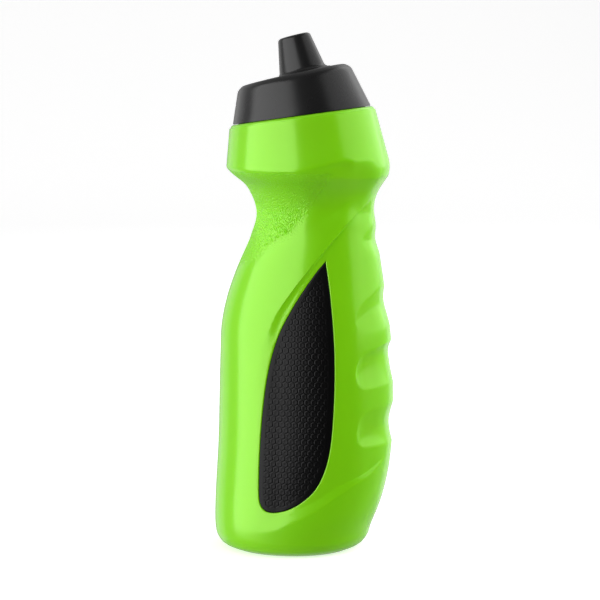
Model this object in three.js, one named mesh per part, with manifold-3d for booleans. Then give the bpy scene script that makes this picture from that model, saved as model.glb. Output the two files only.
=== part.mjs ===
// Sports squeeze bottle with a leaning screw cap and two rubber grip pads.
// Millimetres, +Z up. The origin is on the ground under the middle of the bottle.
// -X is the smooth palm side, +X the side with the finger grooves, and Y = 0 is the plane of symmetry.
import * as THREE from 'three';
import { mergeVertices } from 'three/addons/utils/BufferGeometryUtils.js';
import Module from 'manifold-3d';

const wasm = await Module();
wasm.setup();

// ---- Driving dimensions --------------------------------------------------------------------

const DEGREE = Math.PI / 180;
const GAP = 0.3; // between pieces that touch

// Side view of the body: [height, x of that side]
const PALM_SIDE = [
  [0, -33.3], [2, -38.1], [5, -41.0], [8, -42.1], [11, -42.38], [16, -42.5], [21, -42.4], [51, -40.8],
  [93, -39.7], [107, -39.1], [120, -36.4], [135, -31.1], [149, -25.0], [160, -22.1], [168, -24.2],
  [174, -28.0], [178, -33.0], [181, -36.3],
];
const FINGER_SIDE = [
  [0, 22.9], [2, 27.4], [5, 30.2], [10, 32.0], [21, 36.4], [36, 40.3], [53, 42.3], [76, 42.7], [103, 41.4],
  [127, 38.1], [155, 34.1], [163, 33.3], [170, 35.2], [175, 38.3], [178.5, 40.6], [181, 41.2],
];
// Front view of the body: [height, half of the width across Y]
const HALF_WIDTH = [
  [0, 28], [2, 32.8], [5, 34.9], [10, 35.8], [31, 36.3], [61, 36.3], [91, 35.4], [116, 32.8], [139, 29.0],
  [156, 27.6], [165, 28.6], [173, 33.2], [178, 37.6], [181, 39.0],
];
const SECTION_POWER = 2.1; // 2 is an ellipse, more is squarer
// Finger grooves, from the top one down: rows of angle from +X in degrees, the heights of the lower
// edge, the deepest line and the upper edge there, and the depth
const FINGER_GROOVES = [
  [[0, 139, 147.5, 155, 1.3], [10, 139.5, 147.5, 154.5, 1.1], [22, 142, 147.5, 152, 0.4],
    [28, 147.4, 147.5, 147.6, 0]],
  [[0, 106, 118.5, 126, 1.6], [12, 106, 118, 125, 1.35], [20, 105.8, 116.5, 122.4, 1.0],
    [28, 105.6, 114, 120.2, 0.75], [34, 105.6, 112, 117.8, 0.5], [38.5, 110.5, 110.8, 111, 0]],
  [[0, 79.5, 94.5, 100, 1.9], [15, 79.8, 94, 99, 1.9], [25, 79.3, 91.5, 97.5, 1.85],
    [34, 79.2, 89.5, 95.8, 1.6], [38, 80.5, 88, 93.2, 1.05], [41.5, 86.6, 86.8, 87, 0]],
  [[0, 51, 61.5, 70.5, 2.1], [15, 51.5, 60.5, 70.2, 2.0], [25, 52, 59.5, 69.6, 1.95],
    [33, 52, 58.6, 68.2, 1.7], [36.5, 52.4, 58.4, 66.8, 1.2], [40.5, 58.8, 59, 59.2, 0]],
];
const GROOVE_POWER = 1.7; // 1 would make a groove's sides flat, and more rounds its bottom

const WALL = 1.6;
const BASE = { pushUp: 2.6, pushUpRadius: 24, footInner: 0.92, centreX: -5.2 };
const COLLAR_Z = 181; // the collar's widest line, where it overhangs the waist

// Neck: its frame sits in the middle of the collar's top face and leans towards the palm side
const NECK = { x: -0.9, z: 205.5, lean: 8 };
const COLLAR = { radius: 34.7, chamferHeight: 1.5, topRadius: 33.6, topThickness: 2 };
const FINISH = { outer: 25.9, inner: 23.4, height: 13 };
const THREAD = { lead: 6, foot: 3.6, neckCrest: 27.2, capCrest: 26.5, rootWidth: 2.2, crestWidth: 1.0 };

// Cap, in the neck's frame; its top face leans a little more than the neck does
const CAP = { bottom: 0.35, radius: 32.8, topRadius: 27.4, wall: 1.8, bore: 27.6, skirtOuter: 29.2 };
const CAP_TOP = { x: -1.4, z: 18.8, lean: 4.7, domeRadius: 17.5, domeHeight: 0.35 };
// The raised lip round the cap's top face, as [radius, height], from the wall inwards
const CAP_LIP = [[27.65, -2.6], [27.0, -1.4], [25.5, -0.1], [24.2, 0.5], [23.2, 0.35], [22, 0]];
const DECK = { z: 15, plugOuter: 22.6, plugInner: 21.2, plugBottom: 10.5 };

// Nozzle: its frame sits on the cap's top face, in the neck's frame, and leans a little more again
const NOZZLE = {
  x: 3.3, z: 19.1, lean: 6.3, root: 0.9, rootFillet: 2.6, rootRadius: 10.65, top: 18.5, tipRadius: 7.9,
  tipFillet: 1.8, bore: 6.6, seat: 15.8, mouth: 4.6, recessRadius: 14, recessTop: -0.9,
};
const VALVE = { flange: 6.2, bottom: 14.3, disc: 4.2, discHeight: 1, slit: 0.35, slitLength: 6 };
const RETAINER = { outer: 6.3, inner: 4.8, flange: 9, flangeBottom: -2.6, flangeTop: -1.2, top: 14 };
const GASKET = { inner: 22.9, outer: 25.7, bottom: FINISH.height + GAP, top: DECK.z - GAP };

// Grip pad: its outline seen from the side, [x, z], from the sharp tip round by the palm side
const PAD_OUTLINE = [
  [16.3, 139.2], [10.3, 131.7], [1.5, 118.2], [-6.0, 103.5], [-10.7, 85], [-13.5, 60], [-14.5, 34],
  [-13.1, 24.5], [-7, 21.9], [4, 25.4], [13.9, 34.5], [19.5, 50], [21.6, 74], [21.5, 98], [19.3, 121],
];
const PAD = { sunk: 0.15, thickness: 1.7, margin: 2, wallBehind: 1.4 };

const BODY_SIDES = 36;
const CAVITY_SIDES = 24;
const ROUND_SIDES = 32;
const OUTLINE_STEPS = 44;
const FILLET_STEPS = 6;
const BODY_ROWS = [
  5, 11, 16, 23, 33, 43, 51, 56, 61.5, 66, 70.5, 75, 79.5, 84, 89, 94.5, 100, 106, 112, 118.5, 126, 132, 139,
  143, 147.5, 155, 161, 167, 172, 176, 181,
];
const CAVITY_ROWS = [
  10, 22, 42, 51, 61.5, 70.5, 79.5, 94.5, 100, 106, 118.5, 126, 139, 147.5, 155, 161, 168, 174, 181,
];

// ---- Materials -----------------------------------------------------------------------------

const greenPlastic = new THREE.MeshStandardMaterial({ color: 0x7fe02a, roughness: 0.3, metalness: 0 });
const blackRubber = new THREE.MeshStandardMaterial({ color: 0x1c1c1e, roughness: 0.75, metalness: 0 });
const greyPlastic = new THREE.MeshStandardMaterial({ color: 0x3a3a3a, roughness: 0.45, metalness: 0 });
const silicone = new THREE.MeshStandardMaterial({ color: 0xdcdcd6, roughness: 0.6, metalness: 0 });

// ---- Shape helpers -------------------------------------------------------------------------

/** A smooth curve y(x) through [x, y] points. */
function curveThrough(points) {
  const slope = (i) => (points[i + 1][1] - points[i][1]) / (points[i + 1][0] - points[i][0]);
  const last = points.length - 1;
  const tangents = points.map((point, i) => {
    if (i === 0) return slope(0);
    if (i === last) return slope(last - 1);
    const before = point[0] - points[i - 1][0];
    const after = points[i + 1][0] - point[0];
    return (slope(i - 1) * after + slope(i) * before) / (before + after);
  });
  return (x) => {
    let i = 0;
    while (i < last - 1 && x > points[i + 1][0]) i += 1;
    const width = points[i + 1][0] - points[i][0];
    const t = (x - points[i][0]) / width;
    const s = 1 - t;
    return (1 + 2 * t) * s * s * points[i][1] + t * s * s * width * tangents[i]
      + t * t * (3 - 2 * t) * points[i + 1][1] - t * t * s * width * tangents[i + 1];
  };
}

const palmX = curveThrough(PALM_SIDE);
const fingerX = curveThrough(FINGER_SIDE);
const halfWidth = curveThrough(HALF_WIDTH);

/** Straight lines through rows of numbers: the other columns where the first one is at. */
function between(rows, at) {
  const i = rows.findIndex((row, k) => k > 0 && at <= row[0]);
  const [low, high] = [rows[i - 1], rows[i]];
  const share = (at - low[0]) / (high[0] - low[0]);
  return low.slice(1).map((value, k) => value + (high[k + 1] - value) * share);
}

/** How deep the finger grooves are at a height and an angle round the body. */
function grooveDepth(z, angle) {
  const fromFingers = Math.abs(Math.atan2(Math.sin(angle), Math.cos(angle))) / DEGREE;
  return FINGER_GROOVES.filter((rows) => fromFingers < rows.at(-1)[0]).reduce((total, rows) => {
    const [low, deepest, high, depth] = between(rows, fromFingers);
    const rise = z < deepest ? (z - low) / (deepest - low) : (high - z) / (high - deepest);
    return total + depth * (1 - (1 - Math.max(0, rise)) ** GROOVE_POWER);
  }, 0);
}

/** The body's horizontal section at height z, pulled in by inset. */
function bodyRing(z, inset = 0, sides = BODY_SIDES) {
  const middle = (fingerX(z) + palmX(z)) / 2;
  const reachX = (fingerX(z) - palmX(z)) / 2;
  const reachY = halfWidth(z);
  return Array.from({ length: sides }, (_, i) => {
    const angle = (2 * Math.PI * i) / sides;
    const flatness = Math.abs(Math.cos(angle) / reachX) ** SECTION_POWER
      + Math.abs(Math.sin(angle) / reachY) ** SECTION_POWER;
    const radius = flatness ** (-1 / SECTION_POWER) - grooveDepth(z, angle) - inset;
    return new THREE.Vector3(middle + radius * Math.cos(angle), radius * Math.sin(angle), z);
  });
}

/** A circle that leans towards -X by lean degrees. */
function leaningRing({ x = 0, z, radius, lean = 0, sides = ROUND_SIDES }) {
  return Array.from({ length: sides }, (_, i) => {
    const angle = (2 * Math.PI * i) / sides;
    const point = new THREE.Vector3(radius * Math.cos(angle), radius * Math.sin(angle), 0);
    return point.applyAxisAngle(new THREE.Vector3(0, 1, 0), -lean * DEGREE).add(new THREE.Vector3(x, 0, z));
  });
}

/** A closed body through rings with equal numbers of points, with a flat fan at each end. */
function loft(rings) {
  const sides = rings[0].length;
  const points = rings.flat();
  const faces = [];
  for (let row = 0; row < rings.length - 1; row += 1) {
    for (let i = 0; i < sides; i += 1) {
      const a = row * sides + i;
      const b = row * sides + ((i + 1) % sides);
      faces.push(a, b, b + sides, a, b + sides, a + sides);
    }
  }
  const centre = (ring) => ring.reduce((sum, p) => sum.add(p), new THREE.Vector3()).divideScalar(sides);
  const first = points.push(centre(rings[0])) - 1;
  const last = points.push(centre(rings[rings.length - 1])) - 1;
  const top = (rings.length - 1) * sides;
  for (let i = 0; i < sides; i += 1) {
    const next = (i + 1) % sides;
    faces.push(first, next, i, last, top + i, top + next);
  }
  const geometry = new THREE.BufferGeometry().setFromPoints(points);
  geometry.setIndex(faces);
  return geometry;
}

/** A ring-shaped body from a closed profile of [radius, z] points, counter-clockwise, round the Z axis. */
function turned(profile, sides = ROUND_SIDES) {
  const points = [...profile, profile[0]].map(([radius, z]) => new THREE.Vector2(radius, z));
  return new THREE.LatheGeometry(points, sides).rotateX(Math.PI / 2);
}

/** A cylinder along Z from z0 to z1. */
function rod(radius, z0, z1, sides = ROUND_SIDES) {
  return new THREE.CylinderGeometry(radius, radius, z1 - z0, sides).rotateX(Math.PI / 2)
    .translate(0, 0, (z0 + z1) / 2);
}

/** A helical ridge from startTurn to endTurn, standing on a wall of rootRadius. */
function threadRidge({ rootRadius, crestRadius, startZ, startTurn, endTurn }) {
  const stepsPerTurn = ROUND_SIDES;
  const steps = Math.round((endTurn - startTurn) * stepsPerTurn);
  const rings = [];
  for (let i = 0; i <= steps; i += 1) {
    const turn = startTurn + ((endTurn - startTurn) * i) / steps;
    const z = startZ + THREAD.lead * turn;
    const corners = [
      [rootRadius, z - THREAD.rootWidth / 2], [crestRadius, z - THREAD.crestWidth / 2],
      [crestRadius, z + THREAD.crestWidth / 2], [rootRadius, z + THREAD.rootWidth / 2],
    ];
    const angle = 2 * Math.PI * turn;
    rings.push(corners.map(([r, h]) => new THREE.Vector3(r * Math.cos(angle), r * Math.sin(angle), h)));
  }
  return loft(crestRadius > rootRadius ? rings.map((ring) => ring.reverse()) : rings);
}

/** A geometry as a manifold-3d solid. */
function solid(geometry) {
  const bare = geometry.clone();
  bare.deleteAttribute('normal');
  bare.deleteAttribute('uv');
  const merged = mergeVertices(bare, 1e-4);
  const index = Array.from(merged.index.array);
  const kept = [];
  for (let i = 0; i < index.length; i += 3) {
    const [a, b, c] = index.slice(i, i + 3);
    if (a !== b && b !== c && c !== a) kept.push(a, b, c);
  }
  return new wasm.Manifold(new wasm.Mesh({
    numProp: 3,
    vertProperties: new Float32Array(merged.attributes.position.array),
    triVerts: new Uint32Array(kept),
  }));
}

/** A manifold-3d solid as a named mesh. */
function piece(name, shape, material) {
  const { vertProperties, triVerts } = shape.getMesh();
  const geometry = new THREE.BufferGeometry();
  geometry.setAttribute('position', new THREE.BufferAttribute(new Float32Array(vertProperties), 3));
  geometry.setIndex(new THREE.BufferAttribute(new Uint32Array(triVerts), 1));
  geometry.computeVertexNormals();
  const mesh = new THREE.Mesh(geometry, material);
  mesh.name = name;
  return mesh;
}

/** Moves a geometry from the neck's frame into the bottle's. */
function onNeck(geometry) {
  return geometry.rotateY(-NECK.lean * DEGREE).translate(NECK.x, 0, NECK.z);
}

/** Moves a geometry from the nozzle's frame into the neck's. */
function onNozzle(geometry) {
  return geometry.rotateY(-NOZZLE.lean * DEGREE).translate(NOZZLE.x, 0, NOZZLE.z);
}

// ---- Body ----------------------------------------------------------------------------------

/** A circle at height along the axis of a leaning frame, { x, z, lean }, in that frame's parent. */
function ringOn(frame, radius, height, sides = ROUND_SIDES) {
  const { x, z, lean } = frame;
  return leaningRing({
    x: x - height * Math.sin(lean * DEGREE), z: z + height * Math.cos(lean * DEGREE), radius, lean, sides,
  });
}

function bodyOutside() {
  const foot = bodyRing(0);
  const footMiddle = new THREE.Vector3(BASE.centreX, 0, 0);
  const footInner = foot.map((point) => point.clone().lerp(footMiddle, 1 - BASE.footInner));
  const pushUp = leaningRing({
    x: BASE.centreX, z: BASE.pushUp, radius: BASE.pushUpRadius, sides: BODY_SIDES,
  });
  return loft([
    pushUp, footInner, foot, bodyRing(2), ...BODY_ROWS.map((z) => bodyRing(z)),
    ringOn(NECK, COLLAR.radius, -COLLAR.chamferHeight, BODY_SIDES),
    ringOn(NECK, COLLAR.topRadius, 0, BODY_SIDES),
  ]);
}

function bodyInside() {
  const floor = leaningRing({
    x: BASE.centreX, z: BASE.pushUp + WALL, radius: BASE.pushUpRadius - WALL, sides: CAVITY_SIDES,
  });
  return loft([
    floor, bodyRing(2.4, 4.5, CAVITY_SIDES), bodyRing(5, 2, CAVITY_SIDES),
    ...CAVITY_ROWS.map((z) => bodyRing(z, WALL, CAVITY_SIDES)),
    ringOn(NECK, COLLAR.topRadius - WALL, -COLLAR.topThickness - 1, CAVITY_SIDES),
    ringOn(NECK, COLLAR.topRadius - WALL - 1, -COLLAR.topThickness, CAVITY_SIDES),
  ]);
}

/** The part of the body's shape that the pads touch, pulled in by inset. */
function padBand(inset) {
  return solid(loft(BODY_ROWS.filter((z) => z >= 10 && z <= 160).map((z) => bodyRing(z, inset))));
}

/** The pad's outline, moved outwards by offset, as a prism through one side of the body. */
function padPrism(offset, side) {
  const DEPTH = 60;
  const outline = new THREE.Shape();
  outline.moveTo(...PAD_OUTLINE[0]);
  outline.splineThru([...PAD_OUTLINE.slice(1), PAD_OUTLINE[0]].map(([x, z]) => new THREE.Vector2(x, z)));
  const points = outline.getSpacedPoints(OUTLINE_STEPS).slice(0, -1);
  const moved = points.map((point, i) => {
    const before = points[(i + points.length - 1) % points.length];
    const after = points[(i + 1) % points.length];
    const along = after.clone().sub(before).normalize();
    return point.clone().add(new THREE.Vector2(-along.y, along.x).multiplyScalar(-offset));
  });
  const prism = new THREE.ExtrudeGeometry(new THREE.Shape(moved), { depth: DEPTH, bevelEnabled: false });
  return solid(prism.rotateX(Math.PI / 2).translate(0, side > 0 ? DEPTH : 0, 0));
}

function bottleBody() {
  const pocketDepth = PAD.sunk + PAD.thickness + GAP;
  const pocketFloor = padBand(pocketDepth);
  const wallBack = padBand(pocketDepth + PAD.wallBehind);
  let outside = solid(bodyOutside());
  let inside = solid(bodyInside());
  [-1, 1].forEach((side) => {
    outside = outside.subtract(padPrism(0, side).subtract(pocketFloor));
    inside = inside.subtract(padPrism(PAD.margin, side).subtract(wallBack));
  });
  const finish = solid(onNeck(rod(FINISH.outer, -COLLAR.topThickness / 2, FINISH.height)));
  const thread = solid(onNeck(threadRidge({
    rootRadius: FINISH.outer - 0.5, crestRadius: THREAD.neckCrest, startZ: THREAD.foot,
    startTurn: 0, endTurn: 1.25,
  })));
  const mouth = solid(onNeck(rod(FINISH.inner, -COLLAR.topThickness - 1, FINISH.height + 1)));
  return outside.add(finish).add(thread).subtract(inside).subtract(mouth);
}

function gripPad(side) {
  const front = padBand(PAD.sunk);
  const back = padBand(PAD.sunk + PAD.thickness);
  return padPrism(-GAP, side).intersect(front).subtract(back);
}

// ---- Cap -----------------------------------------------------------------------------------

/** Shares of a fillet's width and height, at even steps along its arc. */
function filletSteps() {
  return Array.from({ length: FILLET_STEPS + 1 }, (_, i) => {
    const turn = (Math.PI / 2) * (i / FILLET_STEPS);
    return [1 - Math.sin(turn), 1 - Math.cos(turn)];
  });
}

function capOutside() {
  const { domeRadius, domeHeight } = CAP_TOP;
  const { root, rootFillet, rootRadius, tipRadius, tipFillet, top } = NOZZLE;
  return loft([
    leaningRing({ z: CAP.bottom, radius: CAP.radius }),
    ...CAP_LIP.map(([radius, height]) => ringOn(CAP_TOP, radius, height)),
    ringOn({ ...CAP_TOP, x: (CAP_TOP.x + NOZZLE.x) / 2 - 1 }, domeRadius, domeHeight),
    ...filletSteps().map(([across, up]) => (
      ringOn(NOZZLE, rootRadius + rootFillet * across, root + rootFillet * up)
    )),
    ...filletSteps().map(([up, across]) => (
      ringOn(NOZZLE, tipRadius - tipFillet * across, top - tipFillet * up)
    )),
  ]);
}

function screwCap() {
  const wallInner = CAP.radius - CAP.wall;
  const wallSlope = (CAP.radius - CAP.topRadius) / CAP_TOP.z;
  const meet = (wallInner - CAP.skirtOuter) / wallSlope;
  const betweenWalls = solid(turned([
    [CAP.skirtOuter, -1], [wallInner, -1], [wallInner, 0], [CAP.skirtOuter, meet],
  ]));
  const skirtFoot = solid(rod(CAP.skirtOuter + 0.2, -1, CAP.bottom + 1));
  const neckSpace = solid(rod(CAP.bore, -1, DECK.z));
  const ridge = solid(threadRidge({
    rootRadius: CAP.bore + 0.5, crestRadius: THREAD.capCrest, startZ: THREAD.foot - THREAD.lead / 2,
    startTurn: 0.4, endTurn: 1.5,
  }));
  const plug = solid(turned([
    [DECK.plugInner, DECK.plugBottom], [DECK.plugOuter, DECK.plugBottom],
    [DECK.plugOuter, DECK.z + 0.5], [DECK.plugInner, DECK.z + 0.5],
  ]));
  const recess = solid(onNozzle(rod(NOZZLE.recessRadius, -9, NOZZLE.recessTop)));
  const bore = solid(onNozzle(rod(NOZZLE.bore, NOZZLE.recessTop - 1, NOZZLE.seat)));
  const mouth = solid(onNozzle(rod(NOZZLE.mouth, NOZZLE.recessTop - 1, NOZZLE.top + 1)));
  const hollow = solid(capOutside()).subtract(betweenWalls).subtract(skirtFoot).subtract(neckSpace);
  return hollow.add(ridge).add(plug).subtract(recess).subtract(bore).subtract(mouth);
}

function capGasket() {
  return solid(turned([
    [GASKET.inner, GASKET.bottom], [GASKET.outer, GASKET.bottom],
    [GASKET.outer, GASKET.top], [GASKET.inner, GASKET.top],
  ]));
}

/** A flanged disc with crossed slits, which opens under pressure. */
function spoutValve() {
  const flangeTop = NOZZLE.seat - GAP;
  const flange = solid(onNozzle(rod(VALVE.flange, VALVE.bottom, flangeTop)));
  const crown = solid(onNozzle(rod(VALVE.disc, flangeTop - 0.2, flangeTop + VALVE.discHeight)));
  const slits = [[VALVE.slitLength, VALVE.slit], [VALVE.slit, VALVE.slitLength]].map(
    ([x, y]) => solid(onNozzle(new THREE.BoxGeometry(x, y, 6).translate(0, 0, flangeTop))),
  );
  return flange.add(crown).subtract(slits[0]).subtract(slits[1]);
}

function valveRetainer() {
  const { outer, inner, flange, flangeBottom, flangeTop, top } = RETAINER;
  return solid(onNozzle(turned([
    [inner, flangeBottom], [flange, flangeBottom], [flange, flangeTop], [outer, flangeTop], [outer, top],
    [inner, top],
  ])));
}

// ---- Assembly ------------------------------------------------------------------------------

const cap = new THREE.Group();
cap.position.set(NECK.x, 0, NECK.z);
cap.rotation.y = -NECK.lean * DEGREE;
cap.add(piece('screw_cap', screwCap(), greyPlastic));
cap.add(piece('cap_gasket', capGasket(), silicone));
cap.add(piece('spout_valve', spoutValve(), silicone));
cap.add(piece('valve_retainer', valveRetainer(), greyPlastic));

const bottle = new THREE.Group();
bottle.add(piece('bottle_body', bottleBody(), greenPlastic));
bottle.add(piece('grip_pad_right', gripPad(-1), blackRubber));
bottle.add(piece('grip_pad_left', gripPad(1), blackRubber));
bottle.add(cap);

export default bottle;
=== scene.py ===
"""Looks of the sports squeeze bottle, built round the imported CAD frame.

Shapes are worked out in millimetres, as the CAD is, and turned into metres when a mesh is made.
Angles run round the body from +X, the finger side. The body is the same on both sides of Y = 0.
"""
import math

import bmesh
import bpy
import numpy as np
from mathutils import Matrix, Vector, geometry, kdtree


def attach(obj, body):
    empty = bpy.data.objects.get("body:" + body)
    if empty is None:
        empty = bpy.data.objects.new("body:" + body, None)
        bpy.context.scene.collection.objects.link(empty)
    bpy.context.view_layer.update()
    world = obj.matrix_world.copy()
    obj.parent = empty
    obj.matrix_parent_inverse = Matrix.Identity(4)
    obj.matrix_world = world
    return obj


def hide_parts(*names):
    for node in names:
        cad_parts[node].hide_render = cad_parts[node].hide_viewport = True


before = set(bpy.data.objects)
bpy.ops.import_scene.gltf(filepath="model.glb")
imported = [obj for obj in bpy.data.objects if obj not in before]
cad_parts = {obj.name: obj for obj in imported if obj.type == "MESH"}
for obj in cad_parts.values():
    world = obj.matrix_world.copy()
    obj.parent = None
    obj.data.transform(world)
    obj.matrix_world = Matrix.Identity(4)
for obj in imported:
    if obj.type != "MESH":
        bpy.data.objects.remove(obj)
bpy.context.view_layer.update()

MM = 0.001

# ---- Driving dimensions, the CAD's own, in millimetres ---------------------------------------

PALM_SIDE = [
    (0, -33.3), (2, -38.1), (5, -41.0), (8, -42.1), (11, -42.38), (16, -42.5), (21, -42.4), (51, -40.8),
    (93, -39.7), (107, -39.1), (120, -36.4), (135, -31.1), (149, -25.0), (160, -22.1), (168, -24.2),
    (174, -28.0), (178, -33.0), (181, -36.3),
]
FINGER_SIDE = [
    (0, 22.9), (2, 27.4), (5, 30.2), (10, 32.0), (21, 36.4), (36, 40.3), (53, 42.3), (76, 42.7), (103, 41.4),
    (127, 38.1), (155, 34.1), (163, 33.3), (170, 35.2), (175, 38.3), (178.5, 40.6), (181, 41.2),
]
HALF_WIDTH = [
    (0, 28), (2, 32.8), (5, 34.9), (10, 35.8), (31, 36.3), (61, 36.3), (91, 35.4), (116, 32.8), (139, 29.0),
    (156, 27.6), (165, 28.6), (173, 33.2), (178, 37.6), (181, 39.0),
]
SECTION_POWER = 2.1
# Finger grooves, from the top one down. Each row is an angle from +X with the heights of the lower edge,
# the valley and the upper edge there, and the depth.
FINGER_GROOVES = [
    [(0, 139, 147.5, 155, 1.3), (10, 139.5, 147.5, 154.5, 1.1), (22, 142, 147.5, 152, 0.4),
     (28, 147.4, 147.5, 147.6, 0)],
    [(0, 106, 118.5, 126, 1.6), (12, 106, 118, 125, 1.35), (20, 105.8, 116.5, 122.4, 1.0),
     (28, 105.6, 114, 120.2, 0.75), (34, 105.6, 112, 117.8, 0.5), (37, 107.5, 111, 114, 0.2),
     (38.5, 110.5, 110.8, 111, 0)],
    [(0, 79.5, 94.5, 100, 1.9), (15, 79.8, 94, 99, 1.9), (25, 79.3, 91.5, 97.5, 1.85),
     (34, 79.2, 89.5, 95.8, 1.6), (38, 80.5, 88, 93.2, 1.05), (40.5, 83.5, 86.8, 89.8, 0.4),
     (41.5, 86.6, 86.8, 87, 0)],
    [(0, 51, 61.5, 70.5, 2.1), (15, 51.5, 60.5, 70.2, 2.0), (25, 52, 59.5, 69.6, 1.95),
     (33, 52, 58.6, 68.2, 1.7), (36.5, 52.4, 58.4, 66.8, 1.2), (39, 54, 58.6, 64.4, 0.5),
     (40.5, 58.8, 59, 59.2, 0)],
]
# How crisp the lower and the upper edge of each groove are
GROOVE_CRISPNESS = [(0.0, 0.0), (0.3, 0.9), (1.0, 1.0), (1.0, 0.8)]
WALL = 1.6
FOOT_CENTRE = -5.2
PUSH_UP_RADIUS = 24.0
PUSH_UP = 2.6
COLLAR_Z = 181.0
NECK = (-0.9, 205.5, 8.0)  # x, z and lean of the neck's frame
COLLAR_RADIUS = 34.7
COLLAR_TOP_RADIUS = 33.6
COLLAR_CHAMFER = 1.5
FINISH_OUTER, FINISH_INNER, FINISH_HEIGHT = 25.9, 23.4, 13.0
THREAD_LEAD, THREAD_FOOT, NECK_CREST, CAP_CREST = 6.0, 3.6, 27.2, 26.5
THREAD_ROOT_WIDTH, THREAD_CREST_WIDTH = 2.2, 1.0

CAP_BOTTOM, CAP_RADIUS, CAP_TOP_RADIUS = 0.12, 32.8, 27.4
CAP_TOP = (-1.4, 18.8, 4.7)  # x, z and lean of the cap's top face, in the neck's frame
CAP_LIP = [(27.65, -2.6), (27.0, -1.4), (25.5, -0.1), (24.2, 0.5), (23.2, 0.35), (22, 0)]  # (radius, height)
CAP_WALL, CAP_BORE, SKIRT_OUTER = 1.8, 27.6, 29.2
DECK, PLUG_OUTER, PLUG_INNER, PLUG_BOTTOM = 15.0, 22.6, 21.2, 10.5
NOZZLE = (3.3, 19.1, 6.3)  # x, z and lean of the nozzle's frame, in the neck's frame
NOZZLE_ROOT, NOZZLE_ROOT_RADIUS, NOZZLE_ROOT_FILLET = 0.9, 10.65, 2.6
NOZZLE_TOP, NOZZLE_TIP_RADIUS, NOZZLE_TIP_FILLET = 18.5, 7.9, 1.8
NOZZLE_BORE, NOZZLE_SEAT, NOZZLE_MOUTH = 6.6, 15.8, 4.6
RECESS_RADIUS, RECESS_TOP = 14.0, -0.9

PAD_OUTLINE = [
    (16.3, 139.2), (10.3, 131.7), (1.5, 118.2), (-6.0, 103.5), (-10.7, 85), (-13.5, 60), (-14.5, 34),
    (-13.1, 24.5), (-7, 21.9), (4, 25.4), (13.9, 34.5), (19.5, 50), (21.6, 74), (21.5, 98), (19.3, 121),
]
PAD_SUNK, PAD_THICKNESS, PAD_GAP = 0.15, 1.7, 0.12
PAD_EDGE = 0.3, 0.5  # depth and reach of the rounding of its edge
POCKET_EDGE = 0.2, 0.35
POCKET_DEPTH = 2.2

# Looks that the CAD leaves out: the panel round each pad lies in a shallow recess between two creases,
# and a dish under the collar takes the thumb. Creases are seen from the side, as (x, z).
RECESS_DEPTH = 1.2
UPPER_CREASE = [
    (35.5, 170), (32.8, 166.1), (27.5, 159.4), (19, 149), (13, 141.4), (2, 127.1), (-5.5, 116), (-10.5, 106),
    (-15.5, 93), (-19, 78),
]
UPPER_CREASE_WIDTH = [0.5, 0.8, 1.1, 1.8, 2.8, 4.4, 6.5, 9]
LOWER_CREASE = [
    (41, 45), (35.6, 38.8), (22.5, 30.2), (13.7, 24), (5.2, 19.3), (-4.2, 15.3), (-14, 12.3), (-24, 10.5),
]
LOWER_CREASE_WIDTH = [0.6, 1.6, 3.2, 3.8, 5.0, 8.0, 11.0, 13.0]
# The scoop under the collar: its lower and upper edge by the angle from +X
SCOOP_LOW = [
    (20, 176), (25, 172.1), (31, 168.8), (40, 167.2), (49, 165.1), (57, 162.4), (75, 158), (100, 156),
]
SCOOP_HIGH = [(20, 181.1), (30, 181.2), (38, 182.3), (52, 185.2), (71, 182.8), (90, 181.3), (100, 181.1)]
SCOOP_DEPTH = (1.5, 3.0)  # at its lower edge and at the collar's widest line
COLLAR_ROUNDING = (1.3, 4.0)  # reach of the rounding of the collar's lower edge, at the palm and the fingers

# The stippled waist: its edge towards the fingers and its lower edge, as (x, z)
STIPPLE_RIGHT = [(2.5, 148.5), (6.3, 154.6), (15.3, 167.3), (25.2, 180.7)]
STIPPLE_LOW = [
    (-40, 128.0), (-31.5, 131.4), (-17.2, 136.3), (-13.4, 139.4), (-4.6, 144.9), (2.5, 148.5), (12, 160),
]
STIPPLE_STEP, STIPPLE_DEPTH = 0.65, 0.29  # spacing of the mesh's points there, and height of a grain
STIPPLE_FADES = (-2.5, 6), (-0.3, 6), (179.6, 180.6)  # where it fades: past each edge, and in height

AROUND = 38.0  # millimetres round the body for each radian, in the flat layout of its skin
SKIN_STEP = 1.15
SKIN_LOW, SKIN_HIGH = 12.0, 188.0
LINING_DEPTH = 2.6  # how much deeper than the wall's inner face the lining lies, to clear the pockets
ROUND = 160

CAMERA_AZIMUTH = 12.0  # degrees round from -Y, towards +X
PANEL_AIM = (0, 0, 0.12)  # the middle of the bottle, in metres, which every light panel faces


# ---- Curves and rings ------------------------------------------------------------------------

def curve_through(points):
    """A smooth curve y(x) through (x, y) points."""
    x, y = np.array(points, float).T
    width = np.diff(x)
    slope = np.diff(y) / width
    tangent = np.concatenate([
        slope[:1], (slope[:-1] * width[1:] + slope[1:] * width[:-1]) / (width[:-1] + width[1:]), slope[-1:],
    ])

    def curve(at):
        at = np.clip(at, x[0], x[-1])
        i = np.clip(np.searchsorted(x, at, side="right") - 1, 0, len(width) - 1)
        t = (at - x[i]) / width[i]
        s = 1 - t
        return ((1 + 2 * t) * s * s * y[i] + t * s * s * width[i] * tangent[i]
                + t * t * (3 - 2 * t) * y[i + 1] - t * t * s * width[i] * tangent[i + 1])
    return curve


palm_x = curve_through(PALM_SIDE)
finger_x = curve_through(FINGER_SIDE)
half_width = curve_through(HALF_WIDTH)
scoop_low = curve_through(SCOOP_LOW)
scoop_high = curve_through(SCOOP_HIGH)


def smooth(low, high, value):
    """0 below low, 1 above high, and an easy slope between."""
    t = np.clip((np.asarray(value, float) - low) / (high - low), 0, 1)
    return t * t * (3 - 2 * t)


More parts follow.
